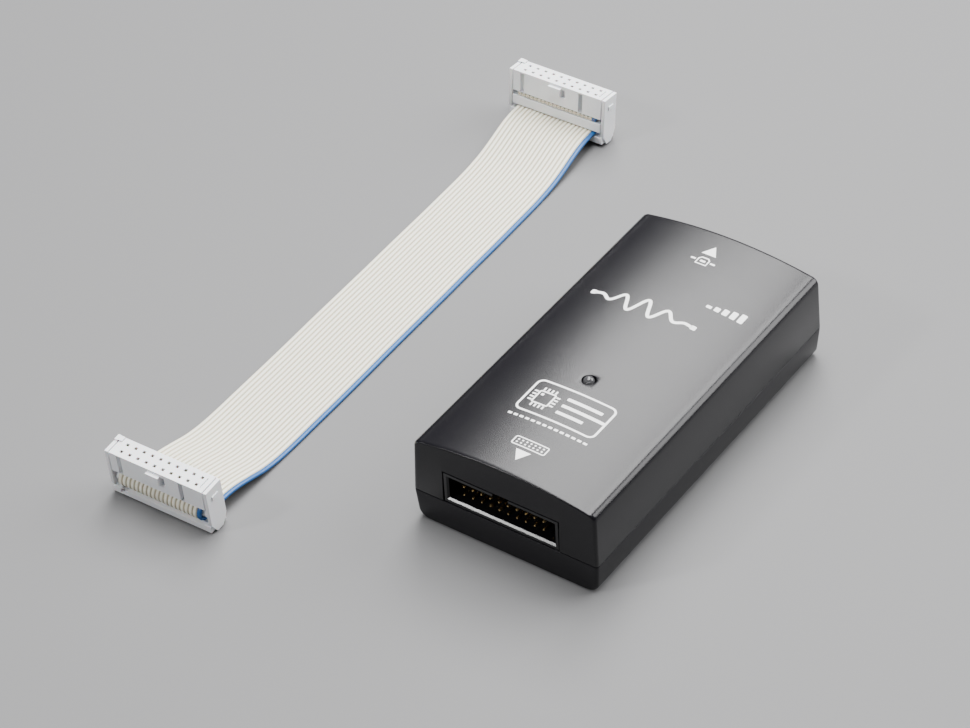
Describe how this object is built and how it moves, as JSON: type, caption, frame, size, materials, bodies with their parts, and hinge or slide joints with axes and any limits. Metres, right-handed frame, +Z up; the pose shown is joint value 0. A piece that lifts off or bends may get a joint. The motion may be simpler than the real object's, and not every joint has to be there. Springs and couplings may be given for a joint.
{
  "type": "usb microcontroller programmer",
  "caption": "Small crowned two-shell pod with a box header at one end, a USB receptacle at the other, and its detachable flat target lead.",
  "frame": {"origin": "bottom centre of the case, on the surface it stands on", "axes": "+Z up, +Y towards the USB receptacle, -Y towards the target header, the loose lead lies at -X"},
  "size_m": [0.1251, 0.1875, 0.0281],
  "materials": {
    "case_plastic": "fine spark-eroded grain, near black",
    "header_plastic": "smooth black moulding",
    "gold_plate": "thin gold plating on square pins",
    "shield_metal": "tinned sheet",
    "board_laminate": "green solder mask",
    "chip_resin": "matt moulding compound",
    "capacitor_can": "aluminium can",
    "fuse_ceramic": "coated chip",
    "lamp_lens": "clear epoxy dome",
    "screw_steel": "zinc plated",
    "label_film": "blank film",
    "socket_plastic": "smooth light grey moulding",
    "ribbon_vinyl": "ivory vinyl with one blue conductor"
  },
  "bodies": {
    "base": {"bottom_shell": "case_plastic", "rating_label": "label_film", "circuit_board": "board_laminate", "board_screw_1": "screw_steel", "board_screw_2": "screw_steel", "board_screw_3": "screw_steel", "board_screw_4": "screw_steel", "header_shroud": "header_plastic", "header_pin_01": "gold_plate", "header_pin_02": "gold_plate", "header_pin_03": "gold_plate", "header_pin_04": "gold_plate", "header_pin_05": "gold_plate", "header_pin_06": "gold_plate", "header_pin_07": "gold_plate", "header_pin_08": "gold_plate", "header_pin_09": "gold_plate", "header_pin_10": "gold_plate", "header_pin_11": "gold_plate", "header_pin_12": "gold_plate", "header_pin_13": "gold_plate", "header_pin_14": "gold_plate", "header_pin_15": "gold_plate", "header_pin_16": "gold_plate", "header_pin_17": "gold_plate", "header_pin_18": "gold_plate", "header_pin_19": "gold_plate", "header_pin_20": "gold_plate", "usb_shield": "shield_metal", "usb_tongue_block": "header_plastic", "usb_contact_1": "gold_plate", "usb_contact_2": "gold_plate", "usb_contact_3": "gold_plate", "usb_contact_4": "gold_plate", "microcontroller": "chip_resin", "line_buffer_1": "chip_resin", "line_buffer_2": "chip_resin", "voltage_regulator": "chip_resin", "resettable_fuse": "fuse_ceramic", "crystal_can": "shield_metal", "smoothing_capacitor": "capacitor_can", "status_lamp": "lamp_lens", "lamp_spacer": "header_plastic", "lamp_lead_1": "shield_metal", "lamp_lead_2": "shield_metal"},
    "lid": {"top_shell": "case_plastic"},
    "lead": {"near_socket_body": "socket_plastic", "near_socket_cover": "socket_plastic", "near_strain_relief": "socket_plastic", "far_socket_body": "socket_plastic", "far_socket_cover": "socket_plastic", "far_strain_relief": "socket_plastic", "ribbon_cable": "ribbon_vinyl"}
  },
  "joints": [
    {"name": "lid_lift", "type": "slide", "parent": "base", "child": "lid", "axis": [0, 0, 1], "range_m": [0, 0.035]},
    {"name": "lead_lift", "type": "slide", "parent": "base", "child": "lead", "axis": [0, 0, 1], "range_m": [0, 0.05]}
  ]
}
